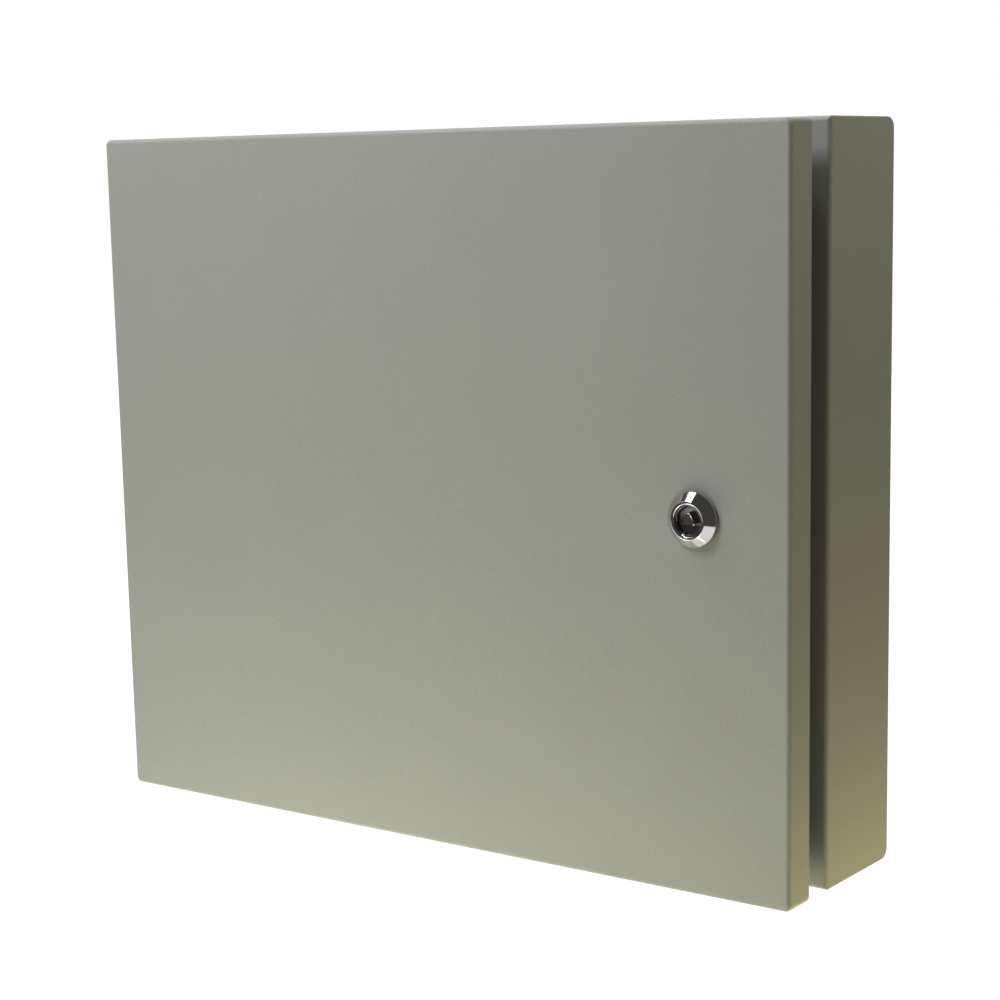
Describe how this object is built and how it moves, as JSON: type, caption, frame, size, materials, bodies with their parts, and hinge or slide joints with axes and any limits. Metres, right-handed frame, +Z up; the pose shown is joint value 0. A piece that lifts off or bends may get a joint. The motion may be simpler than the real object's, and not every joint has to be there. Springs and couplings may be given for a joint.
{
  "type": "fiber optic distribution box",
  "caption": "Wall-mounted sheet-steel box with a hinged pan door and a quarter-turn lock, holding splice trays and a row of fibre adapters on a shelf.",
  "frame": {"origin": "centre of the four wall holes on the box's back face", "axes": "+X to the right as seen from the front, +Y into the wall, +Z up"},
  "size_m": [0.47, 0.1165, 0.4046],
  "materials": {
    "body_paint": "fine matt powder coat, warm grey",
    "zinc_plate": "zinc plated",
    "lock_chrome": "bright plated zinc casting",
    "seal_foam": "closed-cell foam",
    "grommet_rubber": "moulded rubber",
    "adapter_blue": "moulded plastic",
    "cap_plastic": "soft plastic",
    "tray_plastic": "moulded plastic",
    "comb_plastic": "moulded plastic",
    "lid_clear": "clear sheet",
    "brass": "turned brass"
  },
  "bodies": {
    "cabinet": {"cabinet_body": "body_paint", "side_left": "body_paint", "side_right": "body_paint", "neck_frame": "body_paint", "gland_plate": "body_paint", "hinge_leaf_body_upper": "body_paint", "hinge_leaf_body_lower": "body_paint", "gland_screws": "zinc_plate", "hinge_pin_upper": "zinc_plate", "hinge_pin_lower": "zinc_plate", "weld_studs": "zinc_plate", "adapter_shelf": "zinc_plate", "shelf_nuts": "zinc_plate", "adapter_screws": "zinc_plate", "tray_spacers": "zinc_plate", "tray_wing_nuts": "zinc_plate", "anchor_rail": "zinc_plate", "cable_saddle_1": "zinc_plate", "cable_saddle_2": "zinc_plate", "rail_screws": "zinc_plate", "cable_grommet_1": "grommet_rubber", "cable_grommet_2": "grommet_rubber", "cable_grommet_3": "grommet_rubber", "cable_grommet_4": "grommet_rubber", "adapter_01": "adapter_blue", "adapter_02": "adapter_blue", "adapter_03": "adapter_blue", "adapter_04": "adapter_blue", "adapter_05": "adapter_blue", "adapter_06": "adapter_blue", "adapter_07": "adapter_blue", "adapter_08": "adapter_blue", "adapter_09": "adapter_blue", "adapter_10": "adapter_blue", "adapter_11": "adapter_blue", "adapter_12": "adapter_blue", "dust_caps": "cap_plastic", "splice_tray_lower": "tray_plastic", "splice_tray_upper": "tray_plastic", "fibre_guide_1": "tray_plastic", "fibre_guide_2": "tray_plastic", "fibre_guide_3": "tray_plastic", "fibre_guide_4": "tray_plastic", "splice_comb_lower": "comb_plastic", "splice_comb_upper": "comb_plastic", "tray_lid": "lid_clear", "strength_posts": "brass", "earth_nut_body": "brass"},
    "door": {"door_panel": "body_paint", "door_seal": "seal_foam", "hinge_leaf_door_upper": "body_paint", "hinge_leaf_door_lower": "body_paint", "lock_housing": "lock_chrome", "lock_seal": "seal_foam", "lock_nut": "zinc_plate", "door_earth_stud": "zinc_plate", "door_earth_nut": "brass"},
    "lock": {"lock_core": "lock_chrome", "lock_cam": "zinc_plate", "cam_screw": "zinc_plate"}
  },
  "joints": [
    {"name": "door_hinge", "type": "hinge", "parent": "cabinet", "child": "door", "pos_m": [-0.2285, -0.08, 0], "axis": [0, 0, -1], "range_deg": [0, 110]},
    {"name": "lock_turn", "type": "hinge", "parent": "door", "child": "lock", "pos_m": [0.179, -0.1, -0.001], "axis": [0, 1, 0], "range_deg": [0, 90]}
  ]
}
